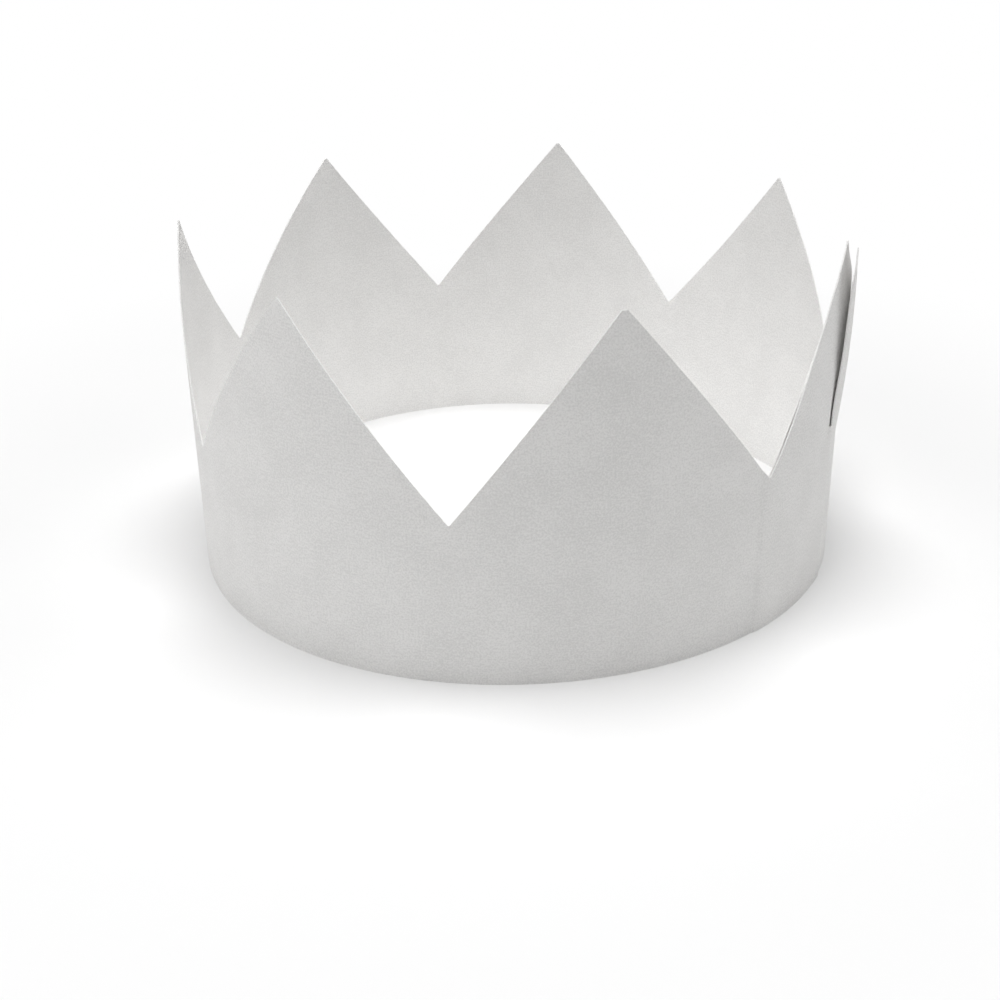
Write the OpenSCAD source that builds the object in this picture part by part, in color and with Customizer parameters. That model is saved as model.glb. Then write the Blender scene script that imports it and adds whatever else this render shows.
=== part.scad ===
// Paper crown: one strip of card with a row of pointed teeth along its top edge, bent into a ring and closed
// by two slits in its own end teeth, which slot into each other.
// Units are millimetres. The crown stands on the XY plane, +Z is up, and the closure is at its right, near +X.
// Places along the strip are measured from the end that comes round the front, clockwise seen from above.

/* [Strip] */
// Length of strip taken up by one tooth
tooth_pitch = 75; // [60:1:100]
// Height of the strip, from the bottom edge to the tips
strip_h = 85; // [70:1:120]
// Height of the valleys between the teeth
valley_h = 40; // [25:1:60]
// Thickness of the card
card_t = 0.3; // [0.2:0.05:0.5]

/* [Hand cutting] */
// How far each tip lies along the strip from its even place; the first and last tip share one place in the ring
tip_shift = [0, 1.5, 0.5, 1, 4, 2.5, 4.5, 0]; // [-5:0.5:5]
// How far each valley lies along the strip from its even place
valley_shift = [0, -1, 0.5, 4, -1, 2, 2.5, 2, -2]; // [-5:0.5:5]
// How far each valley stands above the even valley height
valley_rise = [0, -0.5, -1, -1.5, 2.5, 1.5, 0, 0, 1.5]; // [-3:0.5:3]
// How much lower the last tip is cut than the others
last_tip_drop = 2.5; // [0:0.5:5]

/* [Ring] */
// Direction of the tooth at the closure, counted from +X
seam_angle = -22; // [-60:1:60]
// How much the ring is drawn out along one diameter
oval = 1.2; // [0:0.1:4]
// Direction of that diameter
oval_dir = 98; // [0:1:180]
// How much the ring is pushed out at three places
lobe = 0.9; // [0:0.1:3]
// Direction of the first of the three places
lobe_dir = -15; // [-60:1:60]
// How far the ring stands out just behind the closure
bulge = 1.6; // [0:0.1:4]
// Direction of the middle of that stretch
bulge_dir = 12; // [-60:1:60]
// Angle from its middle to where it ends
bulge_half = 24; // [10:1:60]

/* [Closure] */
// How far the slits lie past the even place of the end teeth
slit_shift = 4; // [-8:0.5:8]
// Width of each slit
slit_w = 0.4; // [0.2:0.1:1]
// How far each slit runs past half the height
slit_over = 1.5; // [0.5:0.1:4]
// Distance between the middles of two layers that lie on each other
layer_step = 0.6; // [0.5:0.05:1.2]
// Length, to each side of the slits, over which the layers change sides
cross_run = 9; // [4:0.5:20]
// Length over which the single card settles back beside the end of an inner layer
settle_run = 5; // [2:0.5:15]
// How far the free half of the last tooth stands away from the ring at the slit's mouth
splay = 2.3; // [0:0.1:6]
// Length over which that half comes back to the ring
splay_run = 60; // [40:1:80]
// Part of the height where it starts to stand away
splay_from = 0.4; // [0.2:0.05:0.6]
// How far the first tooth leans in, in front of the slit
lean = 1.1; // [0:0.1:3]

/* [Fineness] */
// Columns along one slanted tooth edge
edge_columns = 8; // [4:1:10]

/* [Hidden] */
card_color = [0.93, 0.93, 0.925];
tooth_count = len(tip_shift);
last_corner = 2 * tooth_count;
half_pitch = tooth_pitch / 2;
ring_radius = (tooth_count - 1) * tooth_pitch / (2 * PI);
first_slit_s = half_pitch + slit_shift;
last_slit_s = tooth_count * tooth_pitch - half_pitch + slit_shift;
low_row = 0.5 - slit_over / strip_h;
high_row = 0.5 + slit_over / strip_h;
lean_start = -6;
lean_full = 8;
lean_fade = 25;
lean_end = 40;
lean_from = 0.5;
lean_rise = 0.25;

// The strip's outline: corners of the cut edge, a valley at every even corner and a tip at every odd one
function is_tip(k) = k % 2 == 1;
function corner_s(k) = k * half_pitch + (is_tip(k) ? tip_shift[(k - 1) / 2] : valley_shift[k / 2]);
function tip_h(k) = k == last_corner - 1 ? strip_h - last_tip_drop : strip_h;
function corner_h(k) = is_tip(k) ? tip_h(k) : valley_h + valley_rise[k / 2];
first_tail = first_slit_s - corner_s(0);
last_tail = corner_s(last_corner) - last_slit_s;

// Columns of points along the strip: even steps between corners, with a column in and at each side of a slit
even_columns = [
    for (k = [0 : last_corner - 1])
        for (i = [0 : edge_columns - 1])
            corner_s(k) + (corner_s(k + 1) - corner_s(k)) * i / edge_columns,
    corner_s(last_corner)
];
function with_slit(list, s) = concat(
    [for (c = list) if (c < s - slit_w) c],
    [s - slit_w / 2, s, s + slit_w / 2],
    [for (c = list) if (c > s + slit_w) c]
);
columns = with_slit(with_slit(even_columns, first_slit_s), last_slit_s);
column_count = len(columns);

// Height of the cut edge at a place along the strip
function edge_height(s) = lookup(s, [for (k = [0 : last_corner]) [corner_s(k), corner_h(k)]]);

// Rows of points up the strip, as parts of its height; two of them lie at the ends of the slits. Up to there they
// follow an even row of teeth, so that both layers at the closure have their rows at the same heights
rows = [0, 0.2, 0.38, low_row, high_row, 0.62, 0.74, 0.87, 1];
row_count = len(rows);
function to_nearest(d, period) = d - period * round(d / period);
function even_height(s) =
    strip_h - (strip_h - valley_h) * abs(to_nearest(s - first_slit_s, tooth_pitch)) / half_pitch;
function upper_part(row) = max(0, (row - high_row) / (1 - high_row));
function card_z(s, row) =
    let (z = min(row, high_row) * even_height(s))
    z + upper_part(row) * (edge_height(s) - z);

// The ring: a circle as long as all the teeth but one, slightly drawn out; angle and distance along it
function even_angle(s) = seam_angle - (s - half_pitch) / ring_radius * 180 / PI;
function ring_angle(s) = even_angle(s)
    - oval / ring_radius / 2 * (sin(2 * (even_angle(s) - oval_dir)) - sin(2 * (seam_angle - oval_dir))) * 180 / PI
    - lobe / ring_radius / 3 * (sin(3 * (even_angle(s) - lobe_dir)) - sin(3 * (seam_angle - lobe_dir))) * 180 / PI;
function bulge_turn(a) = 180 * max(-1, min(1, to_nearest(a - bulge_dir, 360) / bulge_half));
function ring_reach(a) = ring_radius
    + oval * cos(2 * (a - oval_dir))
    + lobe * cos(3 * (a - lobe_dir))
    + bulge / 2 * (1 + cos(bulge_turn(a)));
function ring_slope(a) =
    -2 * oval * sin(2 * (a - oval_dir))
    - 3 * lobe * sin(3 * (a - lobe_dir))
    - bulge / 2 * sin(bulge_turn(a)) * 180 / bulge_half;
function out_angle(a) = a - atan2(ring_slope(a), ring_reach(a));

// The closure: x is the distance past the slits, positive towards the front, where the first end lies outside
function soft(u) = u <= 0 ? 0 : u >= 1 ? 1 : u * u * (3 - 2 * u);
function side(x) = x > 0 ? 1 : x < 0 ? -1 : 0;
function sway(x) = sin(90 * max(-1, min(1, x / cross_run)));
function is_upper(row) = row >= high_row;
function settle(x, tail) = layer_step / 2 * (1 - soft((x - tail) / settle_run));
function first_layer(x, row) = settle(x, last_tail) * (is_upper(row) ? sway(x) : 2 * side(x) - sway(x));
function last_layer(x, row) = settle(-x, first_tail) * (is_upper(row) ? sway(x) - 2 * side(x) : -sway(x));

// Both layers lean in above the slits' inner ends, in front of the slit; the last tooth's free half stands away
function lean_in(x, part) = lean
    * soft((x - lean_start) / (lean_full - lean_start))
    * (1 - soft((x - lean_fade) / (lean_end - lean_fade)))
    * soft((part - lean_from) / lean_rise);
function stand_away(x, part) =
    x > 0 ? 0 : splay * soft(1 + x / splay_run) * max(0, (part - splay_from) / (1 - splay_from));

// How far the middle of the card lies outside the ring
function layer_shift(s, row) =
    let (from_first = s - first_slit_s, from_last = s - last_slit_s, part = card_z(s, row) / strip_h)
    from_first < splay_run ? first_layer(from_first, row) - lean_in(from_first, part)
        : from_last > -splay_run
            ? last_layer(from_last, row) - lean_in(from_last, part) + stand_away(from_last, part)
            : 0;

// One point of the card: face is 1 on the outer face and -1 on the inner face
function card_point(s, row, face) =
    let (a = ring_angle(s), n = out_angle(a), d = layer_shift(s, row) + face * card_t / 2)
    [
        ring_reach(a) * cos(a) + d * cos(n),
        ring_reach(a) * sin(a) + d * sin(n),
        card_z(s, row)
    ];
outer_points = [for (s = columns) for (row = rows) card_point(s, row, 1)];
inner_points = [for (s = columns) for (row = rows) card_point(s, row, -1)];
all_points = concat(outer_points, inner_points);

// Middle of the footprint, which becomes the origin
xs = [for (p = all_points) p[0]];
ys = [for (p = all_points) p[1]];
middle = [(min(xs) + max(xs)) / 2, (min(ys) + max(ys)) / 2, 0];

// Cells between neighbouring columns and rows; a cell inside a slit has no card
function in_slit(i, slit_s) = abs((columns[i] + columns[i + 1]) / 2 - slit_s) < slit_w / 2;
function has_card(i, j) =
    i >= 0 && i < column_count - 1 && j >= 0 && j < row_count - 1
    && !(in_slit(i, first_slit_s) && rows[j + 1] <= high_row)
    && !(in_slit(i, last_slit_s) && rows[j] >= low_row);
function outer(i, j) = i * row_count + j;
function inner(i, j) = len(outer_points) + outer(i, j);
function two_triangles(a, b, c, d) = [[a, b, c], [a, c, d]];

// Faces of one cell: both faces of the card, and a cut edge wherever the next cell has no card
function cell_faces(i, j) = concat(
    two_triangles(outer(i + 1, j), outer(i + 1, j + 1), outer(i, j + 1), outer(i, j)),
    two_triangles(inner(i + 1, j), inner(i, j), inner(i, j + 1), inner(i + 1, j + 1)),
    has_card(i, j - 1) ? [] : two_triangles(outer(i + 1, j), outer(i, j), inner(i, j), inner(i + 1, j)),
    has_card(i, j + 1) ? []
        : two_triangles(outer(i, j + 1), outer(i + 1, j + 1), inner(i + 1, j + 1), inner(i, j + 1)),
    has_card(i - 1, j) ? [] : two_triangles(outer(i, j), outer(i, j + 1), inner(i, j + 1), inner(i, j)),
    has_card(i + 1, j) ? []
        : two_triangles(outer(i + 1, j + 1), outer(i + 1, j), inner(i + 1, j), inner(i + 1, j + 1))
);
all_faces = [
    for (i = [0 : column_count - 2])
        for (j = [0 : row_count - 2])
            if (has_card(i, j)) each cell_faces(i, j)
];

// The strip of card, cut, bent round and slotted into itself
module crown_band() {
    color(card_color)
        translate(-middle)
            polyhedron(points = all_points, faces = all_faces, convexity = 10);
}

crown_band();
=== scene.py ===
"""Paper crown: one strip of white card with a row of pointed teeth, bent into a ring and slotted into itself.

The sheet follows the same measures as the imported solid, in millimetres, and is turned into metres at the end.
Places along the strip are counted from the end that comes round the front, clockwise seen from above.
"""

import math

import bpy
import numpy as np
from mathutils import Matrix, Vector


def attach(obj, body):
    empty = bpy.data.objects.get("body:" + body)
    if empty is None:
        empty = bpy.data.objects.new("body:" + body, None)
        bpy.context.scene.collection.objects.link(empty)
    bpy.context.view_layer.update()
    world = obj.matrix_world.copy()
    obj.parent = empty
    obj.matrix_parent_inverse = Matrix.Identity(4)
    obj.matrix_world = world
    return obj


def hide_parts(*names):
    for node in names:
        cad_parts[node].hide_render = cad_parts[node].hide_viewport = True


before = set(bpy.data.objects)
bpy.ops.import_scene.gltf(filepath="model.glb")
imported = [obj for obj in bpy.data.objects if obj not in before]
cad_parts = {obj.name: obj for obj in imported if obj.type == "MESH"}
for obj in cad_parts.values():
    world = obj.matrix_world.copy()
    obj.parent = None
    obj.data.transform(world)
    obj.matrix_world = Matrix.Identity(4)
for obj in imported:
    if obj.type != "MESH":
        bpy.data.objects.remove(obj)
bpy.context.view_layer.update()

MM = 0.001

# Strip: tooth width, heights and thickness
TOOTH_PITCH = 75.0
STRIP_H = 85.0
VALLEY_H = 40.0
CARD_T = 0.3
# Hand cutting, tooth by tooth: how far tips and valleys lie from their even places, and the lengths of their flats
TIP_SHIFT = [0, 1.5, 0.5, 1, 4, 2.5, 4.5, 0]
VALLEY_SHIFT = [0, -1, 0.5, 4, -1, 2, 2.5, 2]
VALLEY_RISE = [0, -0.5, -1, -1.5, 2.5, 1.5, 0, 0]
TIP_DROP = [0, 0, 0, 0, 0, 0, 0.9, 1.3]
TIP_FLAT = [0.5, 1.3, 0.5, 0.4, 0.6, 0.7, 0.5, 0.4]
VALLEY_FLAT = 0.5
# Cut edge of the last half tooth, which lies inside at the front: distances past its tip, and heights
TAIL_EDGE = [(4, 75.5), (24, 54.5), (30, 47.55), (35.5, 40.0), (36.9, 38.2)]

# Ring: direction of the closure, and how far the ring is drawn out, lobed and bulged, each with its direction
SEAM_ANGLE = math.radians(-22)
OVAL, OVAL_DIR = 1.2, math.radians(98)
LOBE, LOBE_DIR = 0.9, math.radians(-15)
BULGE, BULGE_DIR, BULGE_HALF = 1.7, math.radians(12), math.radians(24)

# Slits: place past the end teeth's even places, width, how far below half the height the upper one ends, and
# how far the lower one overlaps it
SLIT_SHIFT = 4.0
SLIT_W = 0.4
SLIT_BELOW, SLIT_OVERLAP = 2.2, 0.8
# Layers at the closure: distance of their middles, and lengths over which they change sides and settle
LAYER_STEP = 0.6
CROSS_RUN = 9.0
SETTLE_RUN = 2.4
# Rise of the outer layer over the end of the inner one, and how far that end springs out
RIDGE, RIDGE_RUN, RIDGE_BOTTOM, RIDGE_RISE = 0.25, 7.0, 0.2, 0.2
PRESS, PRESS_RUN = 0.24, 9.0
# Free half of the last tooth: how far its body and its edge along the slit stand out, and over which parts
SPLAY, SPLAY_RUN, SPLAY_FROM, SPLAY_RISE = 1.85, 60.0, 0.42, 0.37
MOUTH, MOUTH_FROM, MOUTH_RISE = 1.6, 0.49, 0.25
FLARE, FLARE_FROM, CURL_RUN = 0.85, 0.7, 9.0
# First end, inside the last tooth: how far it stands out at the slit and behind it
TAIL_OUT, TAIL_START, TAIL_RUN, TAIL_END = 1.2, 6.5, 16.0, 50.0
TAIL_BACK, TAIL_TOP, TAIL_FROM, TAIL_RISE = 10.5, 0.77, 0.5, 0.15
# Both layers in front of the slit: how far they lean in, between which distances and above which part
LEAN, LEAN_START, LEAN_FULL, LEAN_FADE, LEAN_END = 1.1, -6.0, 8.0, 25.0, 40.0
LEAN_FROM, LEAN_RISE = 0.5, 0.25

# Fineness of the sheet: steps along it, rows below, between and above the slits' ends, and angle of a sharp edge
COLUMN_STEP = 0.9
RIDGE_STEP = 0.3
LOWER_ROWS, BAND_ROWS, UPPER_ROWS = 18, 3, 22
SHARP_ANGLE = math.radians(40)

# Card's patterns: scales per metre, shares in its tone, and the ranges that are spread over tone and roughness
GRAIN_SCALE, CLOUD_SCALE, DRIFT_SCALE = 2200, 75, 14
FIBRE_STRETCH = (420, 2400, 1)
FINE_SHARE, CLOUD_SHARE = 0.75, 0.6
TONE_LOW, TONE_HIGH = 0.41, 0.59
ROUGH_LOW, ROUGH_HIGH, ROUGH_SPREAD = 0.3, 0.7, 0.06
BUMP_STRENGTH, BUMP_DEPTH = 0.8, 0.00012
SPECULAR = 0.25
# Faces and cut edges of the card: name, darkest and lightest tone, roughness and share of the grain
CARD_LOOKS = [
    ("card_white", (0.836, 0.829, 0.817), (0.961, 0.953, 0.940), 0.82, 0.72),
    ("card_cut_edge", (0.79, 0.785, 0.774), (0.86, 0.854, 0.842), 0.92, 0.7),
]
# Colour sockets of a mix node: its two colours and its result
MIX_A, MIX_B, MIX_RESULT = 6, 7, 2

# Stage: a round floor in metres, matt up to one distance from its middle and white from another; the surrounding
# light; softboxes with their width and distance, each as name, direction, height above the horizon and level
WHITE = (1, 1, 1, 1)
FLOOR_RADIUS, FLOOR_SIDES = 6, 128
FLOOR_COLOUR = (0.84, 0.84, 0.84)
FLOOR_MATT, FLOOR_WHITE = 0.105, 0.27
AMBIENT = 0.027
SOFTBOX_SIZE, SOFTBOX_AWAY = 0.9, 1.2
SOFTBOXES = [
    ("softbox_top", 0, 90, 1.112),
    ("softbox_right", 0, 30, 0.195),
    ("softbox_left", 180, 30, 0.127),
    ("softbox_front_left", 225, 30, 0.167),
]

# Camera: place in metres, angle down and small turns in degrees, and focal length in sensor widths
CAMERA_PLACE = (-0.00125, -0.34978, 0.17138)
CAMERA_DOWN, CAMERA_YAW, CAMERA_PITCH, CAMERA_ROLL = 26.145, 0.524, 0.705, 0.576
SENSOR_WIDTH, FOCAL_WIDTHS = 36, 1.4121
CLIP_START, CLIP_END = 0.01, 50

TOOTH_COUNT = len(TIP_SHIFT)
HALF_PITCH = TOOTH_PITCH / 2
RING_RADIUS = (TOOTH_COUNT - 1) * TOOTH_PITCH / (2 * math.pi)
FIRST_SLIT = HALF_PITCH + SLIT_SHIFT
LAST_SLIT = TOOTH_COUNT * TOOTH_PITCH - HALF_PITCH + SLIT_SHIFT
LOW_ROW = 0.5 - SLIT_BELOW / STRIP_H
HIGH_ROW = LOW_ROW + SLIT_OVERLAP / STRIP_H


def cut_corners():
    """Places and heights of the corners of the cut edge, each tip and valley being a short flat."""
    places, heights = [], []
    for k in range(2 * TOOTH_COUNT):
        tooth = k // 2
        if k % 2:
            place, flat = k * HALF_PITCH + TIP_SHIFT[tooth], TIP_FLAT[tooth]
            height = STRIP_H - TIP_DROP[tooth]
        else:
            place, flat = k * HALF_PITCH + VALLEY_SHIFT[tooth], VALLEY_FLAT
            height = VALLEY_H + VALLEY_RISE[tooth]
        ends = [place - flat / 2, place + flat / 2] if k else [place]
        places += ends
        heights += [height] * len(ends)
    last_tip = (2 * TOOTH_COUNT - 1) * HALF_PITCH
    places += [last_tip + past for past, height in TAIL_EDGE]
    heights += [height for past, height in TAIL_EDGE]
    return np.array(places), np.array(heights)


CORNER_S, CORNER_H = cut_corners()
FIRST_TAIL = FIRST_SLIT - CORNER_S[0]
LAST_TAIL = CORNER_S[-1] - LAST_SLIT


def soft(u):
    """An even rise from 0 to 1 that starts and ends level."""
    u = np.clip(u, 0, 1)
    return u * u * (3 - 2 * u)


def to_nearest(d, period):
    """Distance from the nearest whole number of periods."""
    return d - period * np.round(d / period)


def card_z(s, row):
    """Height of a row; up to the slits' ends rows follow an even row of teeth, so both layers have the same ones."""
    even = STRIP_H - (STRIP_H - VALLEY_H) * np.abs(to_nearest(s - FIRST_SLIT, TOOTH_PITCH)) / HALF_PITCH
    low = np.minimum(row, HIGH_ROW) * even
    upper = np.clip((row - HIGH_ROW) / (1 - HIGH_ROW), 0, 1)
    return low + upper * (np.interp(s, CORNER_S, CORNER_H) - low)


def ring_angle(s):
    """Direction of a place along the strip."""
    even = SEAM_ANGLE - (s - HALF_PITCH) / RING_RADIUS
    return (
        even
        - OVAL / RING_RADIUS / 2 * (np.sin(2 * (even - OVAL_DIR)) - math.sin(2 * (SEAM_ANGLE - OVAL_DIR)))
        - LOBE / RING_RADIUS / 3 * (np.sin(3 * (even - LOBE_DIR)) - math.sin(3 * (SEAM_ANGLE - LOBE_DIR)))
    )


def bulge_turn(a):
    """Where a direction lies in the bulge, from minus to plus half a turn."""
    return math.pi * np.clip(to_nearest(a - BULGE_DIR, 2 * math.pi) / BULGE_HALF, -1, 1)


def ring_reach(a):
    """Distance of the ring from its centre."""
    return (
        RING_RADIUS
        + OVAL * np.cos(2 * (a - OVAL_DIR))
        + LOBE * np.cos(3 * (a - LOBE_DIR))
        + BULGE / 2 * (1 + np.cos(bulge_turn(a)))
    )


def out_angle(a):
    """Direction straight out of the ring."""
    slope = (
        -2 * OVAL * np.sin(2 * (a - OVAL_DIR))
        - 3 * LOBE * np.sin(3 * (a - LOBE_DIR))
        - BULGE / 2 * np.sin(bulge_turn(a)) * math.pi / BULGE_HALF
    )
    return a - np.arctan2(slope, ring_reach(a))


def sway(x):
    """From -1 to 1 past a slit, as the layers change sides."""
    return np.sin(math.pi / 2 * np.clip(x / CROSS_RUN, -1, 1))


def settle(x, tail):
    """How far each layer keeps from the ring, down to none past the other layer's end."""
    return LAYER_STEP / 2 * (1 - soft((x - tail) / SETTLE_RUN))


def ridge(x, tail, part):
    """The faint rise of the outer card over the end of the inner one, weaker at the bottom edge."""
    past = x - tail
    height = RIDGE * (RIDGE_BOTTOM + (1 - RIDGE_BOTTOM) * soft(part / RIDGE_RISE))
    return height * soft(1 - np.where(past > 0, past / SETTLE_RUN, -past / RIDGE_RUN))


def press(x, tail):
    """How far the end of an inner layer springs out against the outer one."""
    return PRESS * soft((x - tail + PRESS_RUN) / PRESS_RUN)


def lean_in(x, part):
    """How far both layers lean in, in front of the slit and above its inner end."""
    return (
        LEAN
        * soft((x - LEAN_START) / (LEAN_FULL - LEAN_START))
        * (1 - soft((x - LEAN_FADE) / (LEAN_END - LEAN_FADE)))
        * soft((part - LEAN_FROM) / LEAN_RISE)
    )


def stand_away(x, part):
    """How far the free half of the last tooth stands out: its body, and its edge along the slit."""
    rise = np.clip((part - SPLAY_FROM) / SPLAY_RISE, 0, None)
    body = SPLAY * rise * (2 - rise) * soft(1 + x / SPLAY_RUN)
    edge = MOUTH * soft((part - MOUTH_FROM) / MOUTH_RISE)
    edge += FLARE * np.clip((part - FLARE_FROM) / (1 - FLARE_FROM), 0, None)
    return np.where(x > 0, 0, body + (edge - body) * soft(1 + x / CURL_RUN))


def tail_out(x, part):
    """How far the upper part of the first end stands out at the slit and behind it, inside the last tooth."""
    start = TAIL_START - TAIL_BACK * soft((part - TAIL_TOP) / (1 - TAIL_TOP))
    return (
        TAIL_OUT
        * soft((start - x) / TAIL_RUN)
        * soft(1 + x / TAIL_END)
        * soft((part - TAIL_FROM) / TAIL_RISE)
    )


def layer_shift(s, row, side_first, side_last):
    """How far the middle of the card lies outside the ring; a side is -1 behind a slit and 1 in front of it."""
    part = card_z(s, row) / STRIP_H
    upper = soft((row - LOW_ROW) / (HIGH_ROW - LOW_ROW))
    x1, x2 = s - FIRST_SLIT, s - LAST_SLIT
    first = settle(x1, LAST_TAIL) * (upper * sway(x1) + (1 - upper) * (2 * side_first - sway(x1)))
    last = settle(-x2, FIRST_TAIL) * (upper * (sway(x2) - 2 * side_last) - (1 - upper) * sway(x2))
    at_first = (
        first - lean_in(x1, part) + ridge(x1, LAST_TAIL, part) + press(-x1, FIRST_TAIL) + tail_out(x1, part)
    )
    at_last = (
        last - lean_in(x2, part) + stand_away(x2, part) + ridge(-x2, FIRST_TAIL, part) + press(x2, LAST_TAIL)
    )
    return np.where(x1 < SPLAY_RUN, at_first, np.where(x2 > -SPLAY_RUN, at_last, 0))


def card_points(s, row, face):
    """Points on one face of the card: 1 for the outer face and -1 for the inner one."""
    a = ring_angle(s)
    n = out_angle(a)
    d = layer_shift(s, row, np.sign(s - FIRST_SLIT), np.sign(s - LAST_SLIT)) + face * CARD_T / 2
    reach = ring_reach(a)
    x = reach * np.cos(a) + d * np.cos(n)
    y = reach * np.sin(a) + d * np.sin(n)
    return np.stack([x, y, card_z(s, row)], -1)


def strip_columns():
    """Places of the columns: even steps between corners, finer at the ridges, and three at each slit."""
    columns = []
    for a, b in zip(CORNER_S[:-1], CORNER_S[1:]):
        count = max(1, round((b - a) / COLUMN_STEP))
        columns += list(a + (b - a) * np.arange(count) / count)
    columns.append(CORNER_S[-1])
    for end in (FIRST_SLIT + LAST_TAIL, LAST_SLIT - FIRST_TAIL):
        fine = np.arange(end - RIDGE_RUN, end + RIDGE_RUN, RIDGE_STEP)
        fine = [c for c in fine if np.abs(CORNER_S - c).min() > RIDGE_STEP]
        corner = [c for c in CORNER_S if fine[0] < c < fine[-1]]
        columns = [c for c in columns if not fine[0] - RIDGE_STEP < c < fine[-1] + RIDGE_STEP]
        columns += fine + corner
    for slit in (FIRST_SLIT, LAST_SLIT):
        columns = [c for c in columns if abs(c - slit) > SLIT_W]
        columns += [slit - SLIT_W / 2, slit, slit + SLIT_W / 2]
    return np.array(sorted(columns))


def strip_rows():
    """Rows as parts of the height, with one at each end of the slits."""
    return np.concatenate([
        np.linspace(0, LOW_ROW, LOWER_ROWS + 1)[:-1],
        np.linspace(LOW_ROW, HIGH_ROW, BAND_ROWS + 1)[:-1],
        np.linspace(HIGH_ROW, 1, UPPER_ROWS + 1),
    ])


def crown_mesh():
    """Both faces of the strip and a cut edge wherever the next cell has no card, centred on the footprint."""
    columns, rows = strip_columns(), strip_rows()
    nc, nr = len(columns), len(rows)
    s, r = np.meshgrid(columns, rows, indexing="ij")
    outer, inner = card_points(s, r, 1), card_points(s, r, -1)
    axes = np.moveaxis(np.stack([outer, inner]), -1, 0)
    middle = np.array([(p.min() + p.max()) / 2 for p in axes])
    middle[2] = 0
    points = (np.concatenate([outer.reshape(-1, 3), inner.reshape(-1, 3)]) - middle) * MM
    flat = np.stack([s, card_z(s, r)], -1).reshape(-1, 2) * MM

    mid_s = (columns[:-1] + columns[1:]) / 2
    mid_r = (rows[:-1] + rows[1:]) / 2
    card = np.ones((nc - 1, nr - 1), bool)
    card[np.ix_(np.abs(mid_s - FIRST_SLIT) < SLIT_W / 2, mid_r < HIGH_ROW)] = False
    card[np.ix_(np.abs(mid_s - LAST_SLIT) < SLIT_W / 2, mid_r > LOW_ROW)] = False
    walled = np.pad(card, 1)

    def out(i, j):
        return i * nr + j

    def into(i, j):
        return nc * nr + i * nr + j

    i, j = np.nonzero(card)
    faces = [
        np.stack([out(i + 1, j), out(i + 1, j + 1), out(i, j + 1), out(i, j)], -1),
        np.stack([into(i + 1, j), into(i, j), into(i, j + 1), into(i + 1, j + 1)], -1),
    ]
    sheet_faces = 2 * len(i)
    for di, dj, corners in (
        (0, -1, ((1, 0), (0, 0))),
        (0, 1, ((0, 1), (1, 1))),
        (-1, 0, ((0, 0), (0, 1))),
        (1, 0, ((1, 1), (1, 0))),
    ):
        ci, cj = np.nonzero(card & ~walled[1 + di : 1 + di + nc - 1, 1 + dj : 1 + dj + nr - 1])
        (ai, aj), (bi, bj) = corners
        faces.append(np.stack([
            out(ci + ai, cj + aj), out(ci + bi, cj + bj), into(ci + bi, cj + bj), into(ci + ai, cj + aj),
        ], -1))
    faces = np.concatenate(faces)
    used, index = np.unique(faces, return_inverse=True)
    index = index.reshape(faces.shape)
    uv = np.concatenate([flat, flat + [0, 2 * STRIP_H * MM]])[faces]
    uv[sheet_faces:] = flat[faces[sheet_faces:] % (nc * nr)]

    mesh = bpy.data.meshes.new("crown_card")
    mesh.from_pydata(points[used].tolist(), [], index.tolist())
    mesh.uv_layers.new(name="flat").uv.foreach_set("vector", uv.astype(np.float32).ravel())
    cut = np.zeros(len(faces), np.int32)
    cut[sheet_faces:] = 1
    mesh.polygons.foreach_set("material_index", cut)
    mesh.shade_smooth()
    mesh.set_sharp_from_angle(angle=SHARP_ANGLE)
    mesh.validate()
    return mesh


class Nodes:
    """Short ways to add nodes to one tree, of a new material or of the one given."""

    def __init__(self, name=None, tree=None):
        if tree is None:
            self.material = bpy.data.materials.new(name)
            self.material.use_nodes = True
            tree = self.material.node_tree
        self.tree = tree
        self.tree.nodes.clear()

    def add(self, kind, settings=None, **inputs):
        node = self.tree.nodes.new(kind)
        for key, value in (settings or {}).items():
            setattr(node, key, value)
        for key, value in inputs.items():
            self.put(node.inputs[key.replace("_", " ")], value)
        return node

    def put(self, socket, value):
        if isinstance(value, bpy.types.NodeSocket):
            self.tree.links.new(value, socket)
        else:
            socket.default_value = value

    def math(self, operation, a, b):
        node = self.add("ShaderNodeMath", {"operation": operation})
        self.put(node.inputs[0], a)
        self.put(node.inputs[1], b)
        return node.outputs[0]

    def blend(self, a, b, share):
        """The given share of a, and the rest of b."""
        return self.math("ADD", self.math("MULTIPLY", a, share), self.math("MULTIPLY", b, 1 - share))

    def noise(self, vector, scale, detail, roughness, distortion=0.0):
        node = self.add(
            "ShaderNodeTexNoise", {"noise_dimensions": "2D"},
            Vector=vector, Scale=scale, Detail=detail, Roughness=roughness, Distortion=distortion,
        )
        return node.outputs["Fac"]

    def stretched(self, vector, factors):
        node = self.add("ShaderNodeVectorMath", {"operation": "MULTIPLY"})
        self.put(node.inputs[0], vector)
        self.put(node.inputs[1], factors)
        return node.outputs[0]


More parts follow.
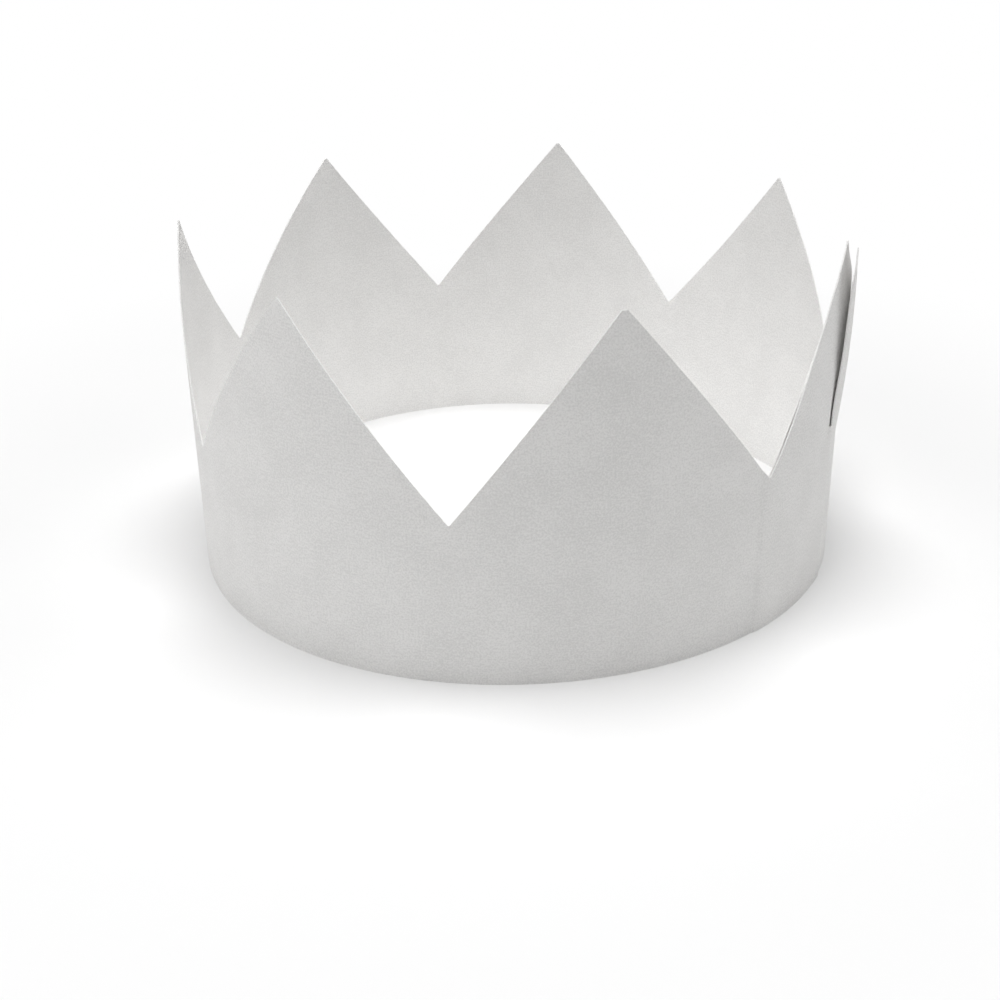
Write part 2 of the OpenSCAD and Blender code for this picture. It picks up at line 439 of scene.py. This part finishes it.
def card_material(name, dark, light, roughness, grain_share):
    """Card with fine grain, short fibres along the strip and a faint cloudiness."""
    n = Nodes(name)
    place = n.add("ShaderNodeUVMap", {"uv_map": "flat"}).outputs["UV"]
    grain = n.noise(place, GRAIN_SCALE, detail=2, roughness=0.65)
    fibre = n.noise(n.stretched(place, FIBRE_STRETCH), 1, detail=3, roughness=0.6, distortion=0.5)
    cloud = n.noise(place, CLOUD_SCALE, detail=4, roughness=0.55)
    drift = n.noise(place, DRIFT_SCALE, detail=2, roughness=0.5)
    fine = n.blend(grain, fibre, grain_share)
    broad = n.blend(cloud, drift, CLOUD_SHARE)
    tone = n.blend(fine, broad, FINE_SHARE)
    spread = n.add("ShaderNodeMapRange", None, Value=tone, From_Min=TONE_LOW, From_Max=TONE_HIGH)
    colour = n.add("ShaderNodeMix", {"data_type": "RGBA"})
    n.put(colour.inputs["Factor"], spread.outputs[0])
    n.put(colour.inputs[MIX_A], (*dark, 1))
    n.put(colour.inputs[MIX_B], (*light, 1))
    rough = n.add(
        "ShaderNodeMapRange", None, Value=fine, From_Min=ROUGH_LOW, From_Max=ROUGH_HIGH,
        To_Min=roughness - ROUGH_SPREAD, To_Max=roughness + ROUGH_SPREAD,
    )
    bump = n.add("ShaderNodeBump", None, Strength=BUMP_STRENGTH, Distance=BUMP_DEPTH, Height=fine)
    shader = n.add("ShaderNodeBsdfPrincipled")
    n.put(shader.inputs["Base Color"], colour.outputs[MIX_RESULT])
    n.put(shader.inputs["Roughness"], rough.outputs[0])
    n.put(shader.inputs["Normal"], bump.outputs[0])
    shader.inputs["Specular IOR Level"].default_value = SPECULAR
    output = n.add("ShaderNodeOutputMaterial")
    n.put(output.inputs["Surface"], shader.outputs[0])
    return n.material


def seen_mask(n):
    """1 for rays from the camera, straight or by a mirror or glass."""
    path = n.add("ShaderNodeLightPath")
    seen = n.math("MAXIMUM", path.outputs["Is Camera Ray"], path.outputs["Is Glossy Ray"])
    return n.math("MAXIMUM", seen, path.outputs["Is Transmission Ray"])


def floor_material():
    """Pale floor: matt near the crown, so that it keeps the shadow, and plain white to the camera further away."""
    n = Nodes("floor_pale")
    matt = n.add("ShaderNodeBsdfDiffuse", None, Color=(*FLOOR_COLOUR, 1))
    white = n.add("ShaderNodeEmission", None, Color=WHITE, Strength=1.0)
    place = n.add("ShaderNodeTexCoord").outputs["Object"]
    away = n.add("ShaderNodeVectorMath", {"operation": "LENGTH"})
    n.put(away.inputs[0], place)
    far = n.add(
        "ShaderNodeMapRange", {"interpolation_type": "SMOOTHSTEP"},
        Value=away.outputs["Value"], From_Min=FLOOR_MATT, From_Max=FLOOR_WHITE,
    )
    mix = n.add("ShaderNodeMixShader")
    n.put(mix.inputs[0], n.math("MULTIPLY", seen_mask(n), far.outputs[0]))
    n.put(mix.inputs[1], matt.outputs[0])
    n.put(mix.inputs[2], white.outputs[0])
    output = n.add("ShaderNodeOutputMaterial")
    n.put(output.inputs["Surface"], mix.outputs[0])
    return n.material


def add_object(name, data):
    obj = bpy.data.objects.new(name, data)
    bpy.context.scene.collection.objects.link(obj)
    return obj


def make_crown():
    crown = add_object("crown_card", crown_mesh())
    for look in CARD_LOOKS:
        crown.data.materials.append(card_material(*look))
    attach(crown, "root")
    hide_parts("crown_band")


def make_floor():
    mesh = bpy.data.meshes.new("floor")
    turns = np.linspace(0, 2 * math.pi, FLOOR_SIDES + 1)[:-1]
    rim = [(FLOOR_RADIUS * math.cos(t), FLOOR_RADIUS * math.sin(t), 0) for t in turns]
    mesh.from_pydata(rim, [], [list(range(FLOOR_SIDES))])
    mesh.materials.append(floor_material())
    add_object("floor", mesh)


def make_light():
    """A faint surrounding light that looks white to the camera, and the softboxes."""
    world = bpy.data.worlds.new("studio")
    bpy.context.scene.world = world
    world.use_nodes = True
    n = Nodes(tree=world.node_tree)
    ambient = n.add("ShaderNodeBackground", None, Color=WHITE, Strength=AMBIENT)
    white = n.add("ShaderNodeBackground", None, Color=WHITE, Strength=1.0)
    mix = n.add("ShaderNodeMixShader")
    n.put(mix.inputs[0], seen_mask(n))
    n.put(mix.inputs[1], ambient.outputs[0])
    n.put(mix.inputs[2], white.outputs[0])
    output = n.add("ShaderNodeOutputWorld")
    n.put(output.inputs["Surface"], mix.outputs[0])
    for name, azimuth, elevation, level in SOFTBOXES:
        add_softbox(name, math.radians(azimuth), math.radians(elevation), level)


def add_softbox(name, azimuth, elevation, level):
    """A round softbox aimed at the crown; a white face turned to it from there shows about this level."""
    lamp = bpy.data.lights.new(name, "AREA")
    lamp.shape = "DISK"
    lamp.size = SOFTBOX_SIZE
    lamp.energy = level * math.pi ** 2 * SOFTBOX_AWAY ** 2
    towards = Vector((
        math.cos(azimuth) * math.cos(elevation),
        math.sin(azimuth) * math.cos(elevation),
        math.sin(elevation),
    ))
    obj = add_object(name, lamp)
    obj.location = towards * SOFTBOX_AWAY + Vector((0, 0, STRIP_H / 2 * MM))
    obj.rotation_mode = "QUATERNION"
    obj.rotation_quaternion = (-towards).to_track_quat("-Z", "Y")


def make_camera():
    """The camera looks from the front and down, with small turns to the side, up and about its axis."""
    down, yaw, pitch, roll = (math.radians(d) for d in (CAMERA_DOWN, CAMERA_YAW, CAMERA_PITCH, CAMERA_ROLL))
    base = np.array([
        [1, 0, 0],
        [0, math.sin(down), math.cos(down)],
        [0, math.cos(down), -math.sin(down)],
    ])
    turn = np.array([[math.cos(yaw), 0, math.sin(yaw)], [0, 1, 0], [-math.sin(yaw), 0, math.cos(yaw)]])
    tip = np.array([[1, 0, 0], [0, math.cos(pitch), -math.sin(pitch)], [0, math.sin(pitch), math.cos(pitch)]])
    spin = np.array([[math.cos(roll), -math.sin(roll), 0], [math.sin(roll), math.cos(roll), 0], [0, 0, 1]])
    right, up, forward = spin @ tip @ turn @ base
    lens = bpy.data.cameras.new("camera")
    lens.sensor_width = SENSOR_WIDTH
    lens.lens = SENSOR_WIDTH * FOCAL_WIDTHS
    lens.clip_start, lens.clip_end = CLIP_START, CLIP_END
    camera = add_object("camera", lens)
    place = Matrix(np.stack([right, up, -forward], 1).tolist()).to_4x4()
    place.translation = CAMERA_PLACE
    camera.matrix_world = place
    bpy.context.scene.camera = camera


bpy.context.scene.view_settings.view_transform = "Standard"
make_camera()
make_crown()
make_floor()
make_light()
